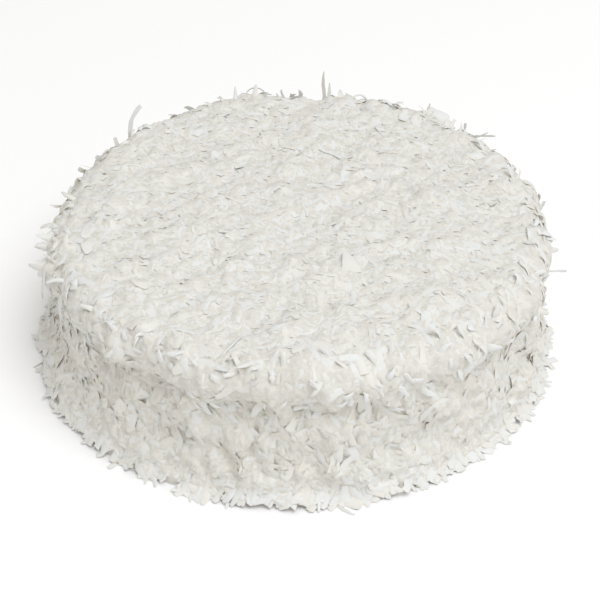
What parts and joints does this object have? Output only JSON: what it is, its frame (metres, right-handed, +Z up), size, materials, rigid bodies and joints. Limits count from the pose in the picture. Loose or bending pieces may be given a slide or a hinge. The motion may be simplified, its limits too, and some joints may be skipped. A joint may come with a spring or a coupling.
{
  "type": "coconut cake",
  "caption": "Round iced layer cake, uncut, with shredded coconut pressed all over its top and side and spilling round its foot.",
  "frame": {"origin": "middle of the flat base that the cake stands on", "axes": "+Z up out of the cake's top, -Y towards the side that the picture shows at the front, +X to the right"},
  "size_m": [0.2426, 0.2438, 0.0787],
  "materials": {
    "shredded_coconut": "matte, slightly translucent off-white shreds"
  },
  "bodies": {
    "root": {"cake": "shredded_coconut"}
  },
  "joints": []
}
